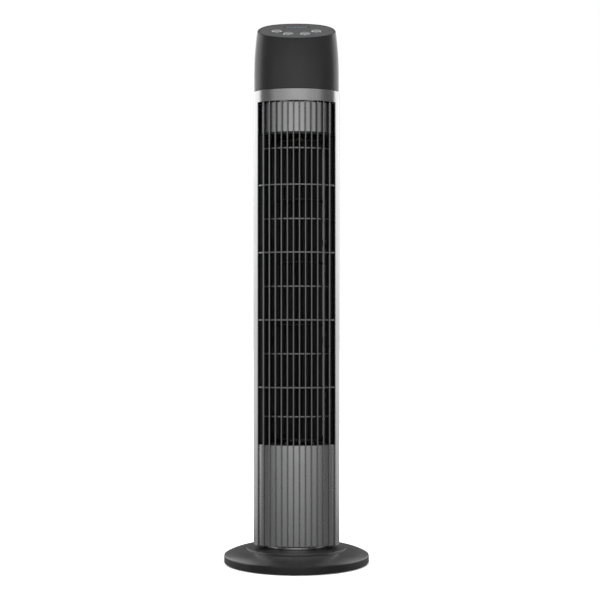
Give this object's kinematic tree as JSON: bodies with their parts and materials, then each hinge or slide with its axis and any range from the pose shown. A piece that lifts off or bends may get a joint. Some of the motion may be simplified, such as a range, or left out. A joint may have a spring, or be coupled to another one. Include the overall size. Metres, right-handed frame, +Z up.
{
  "type": "tower fan",
  "caption": "Upright column fan on a round weighted base, with a ribbed front grille over a long cross-flow impeller and a slanted head with round push buttons.",
  "frame": {"origin": "on the floor, under the middle of the round base", "axes": "+Z up along the column; the front grille faces -Y; +X is to the right as seen from the front"},
  "size_m": [0.243, 0.243, 0.9107],
  "materials": {
    "column_grey": "satin metallic grey paint on moulded plastic",
    "black_shell": "fine satin black moulded plastic",
    "control_face": "satin dark grey panel",
    "inner_black": "matt black moulded plastic",
    "button_silver": "silver metallised button cap",
    "steel": "zinc plated steel",
    "ballast_iron": "raw cast iron",
    "motor_case": "pressed steel can, clear coated",
    "bronze": "sintered bronze, oil filled",
    "nylon": "natural nylon",
    "rubber": "moulded black rubber",
    "circuit_board": "green glass-fibre circuit board",
    "smoked_lens": "smoked clear window"
  },
  "bodies": {
    "base": {"base_cover": "black_shell", "base_plate": "inner_black", "ballast_ring": "ballast_iron", "foot_1": "rubber", "foot_2": "rubber", "foot_3": "rubber", "foot_4": "rubber", "foot_5": "rubber", "base_screw_1": "steel", "base_screw_2": "steel", "base_screw_3": "steel", "base_screw_4": "steel", "pivot_post": "steel", "post_screw_1": "steel", "post_screw_2": "steel", "post_screw_3": "steel", "swivel_washer": "nylon", "swing_gear": "nylon", "retaining_ring": "steel"},
    "tower": {"bearing_plate": "inner_black", "column_floor": "inner_black", "control_board": "circuit_board", "cord_gland": "rubber", "display_lens": "smoked_lens", "front_frame": "column_grey", "front_grille": "column_grey", "handle_cup": "inner_black", "head_shell": "black_shell", "lower_panel": "column_grey", "main_board": "circuit_board", "motor_body": "motor_case", "motor_plate": "inner_black", "motor_screw_1": "steel", "motor_screw_2": "steel", "motor_screw_3": "steel", "rear_shell": "column_grey", "scroll_wall": "inner_black", "shell_screw_1": "steel", "shell_screw_2": "steel", "shell_screw_3": "steel", "shell_screw_4": "steel", "swing_motor": "motor_case", "tongue_wall": "inner_black", "top_face": "control_face", "turntable": "column_grey", "upper_bush": "bronze", "upper_panel": "column_grey"},
    "impeller": {"impeller_wheel": "inner_black", "motor_shaft": "steel", "upper_shaft": "steel"},
    "pinion": {"swing_pinion": "nylon"},
    "power_button": {"button_power": "button_silver"},
    "speed_button": {"button_speed": "button_silver"},
    "swing_button": {"button_swing": "button_silver"},
    "timer_button": {"button_timer": "button_silver"}
  },
  "joints": [
    {"name": "oscillate", "type": "hinge", "parent": "base", "child": "tower", "pos_m": [0, 0, 0.0323], "axis": [0, 0, 1], "range_deg": [-35, 35]},
    {"name": "pinion_spin", "type": "hinge", "parent": "tower", "child": "pinion", "pos_m": [0, -0.03, 0.04], "axis": [0, 0, 1], "range_deg": [-105, 105]},
    {"name": "impeller_spin", "type": "hinge", "parent": "tower", "child": "impeller", "pos_m": [0.005, 0.002, 0.455], "axis": [0, 0, 1], "continuous": true},
    {"name": "power_press", "type": "slide", "parent": "tower", "child": "power_button", "axis": [0, 0.5111, -0.8595], "range_m": [0, 0.001], "stiffness_N_per_m": 400, "springref_m": -0.001},
    {"name": "speed_press", "type": "slide", "parent": "tower", "child": "speed_button", "axis": [0, 0.5111, -0.8595], "range_m": [0, 0.001], "stiffness_N_per_m": 400, "springref_m": -0.001},
    {"name": "swing_press", "type": "slide", "parent": "tower", "child": "swing_button", "axis": [0, 0.5111, -0.8595], "range_m": [0, 0.001], "stiffness_N_per_m": 400, "springref_m": -0.001},
    {"name": "timer_press", "type": "slide", "parent": "tower", "child": "timer_button", "axis": [0, 0.5111, -0.8595], "range_m": [0, 0.001], "stiffness_N_per_m": 400, "springref_m": -0.001}
  ],
  "couplings": [
    {"joint": "pinion_spin", "follows": "oscillate", "ratio": 3}
  ]
}
